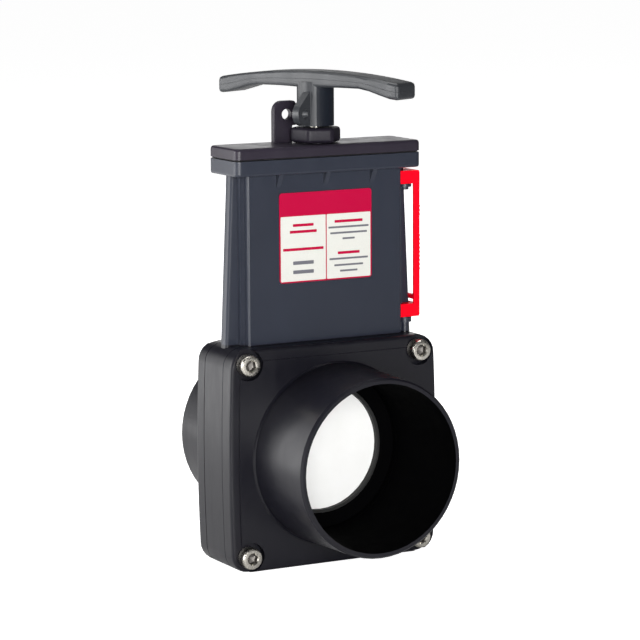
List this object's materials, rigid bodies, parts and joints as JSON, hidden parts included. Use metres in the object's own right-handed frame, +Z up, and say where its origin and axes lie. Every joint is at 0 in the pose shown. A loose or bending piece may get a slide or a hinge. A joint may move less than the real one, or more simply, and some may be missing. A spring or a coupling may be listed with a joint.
{
  "type": "knife gate valve",
  "caption": "Plastic knife gate valve for pipe, with flanged spigots, flat casing for a sliding blade, T handle on a stem with padlock lugs, and a red clip that holds the blade open.",
  "frame": {"origin": "under the middle of the valve, level with the lowest face of its plates and housing", "axes": "+Z up along the stem, Y along the pipe with -Y to the side that the label faces, +X to the right as the label is read"},
  "size_m": [0.145, 0.163, 0.3033],
  "materials": {
    "body_plastic": "dark slate moulded plastic with a satin face",
    "lid_plastic": "dark grey moulded plastic, a little warmer than the body",
    "handle_plastic": "mid grey moulded plastic, fine grain",
    "seal_rubber": "black rubber",
    "blade_plastic": "white plastic, smooth",
    "stainless_steel": "plain stainless steel",
    "clip_plastic": "bright red moulded plastic",
    "label_film": "printed film, crimson and white"
  },
  "bodies": {
    "valve": {"front_plate": "body_plastic", "back_plate": "body_plastic", "valve_housing": "body_plastic", "front_seat_ring": "body_plastic", "back_seat_ring": "body_plastic", "front_seat_seal": "seal_rubber", "back_seat_seal": "seal_rubber", "front_body_seal": "seal_rubber", "back_body_seal": "seal_rubber", "lid": "lid_plastic", "lid_gasket": "seal_rubber", "gland_nut": "lid_plastic", "gland_bush": "blade_plastic", "stem_wiper": "seal_rubber", "stem_seal_lower": "seal_rubber", "stem_seal_upper": "seal_rubber", "caution_label": "label_film", "cap_screw_1": "stainless_steel", "cap_screw_2": "stainless_steel", "cap_screw_3": "stainless_steel", "cap_screw_4": "stainless_steel", "nut_washer_1": "stainless_steel", "nut_washer_2": "stainless_steel", "nut_washer_3": "stainless_steel", "nut_washer_4": "stainless_steel", "hex_nut_1": "stainless_steel", "hex_nut_2": "stainless_steel", "hex_nut_3": "stainless_steel", "hex_nut_4": "stainless_steel"},
    "gate": {"gate_blade": "blade_plastic"},
    "spindle": {"stem": "stainless_steel", "handle": "handle_plastic", "handle_pin": "stainless_steel"},
    "clip": {"locking_clip": "clip_plastic"}
  },
  "joints": [
    {"name": "gate_lift", "type": "slide", "parent": "valve", "child": "gate", "axis": [0, 0, 1], "range_m": [0, 0.09]},
    {"name": "handle_turn", "type": "hinge", "parent": "gate", "child": "spindle", "pos_m": [0, 0, 0.2], "axis": [0, 0, 1], "range_deg": [-43, 260]},
    {"name": "clip_release", "type": "slide", "parent": "valve", "child": "clip", "axis": [1, 0, 0], "range_m": [0, 0.035]}
  ]
}
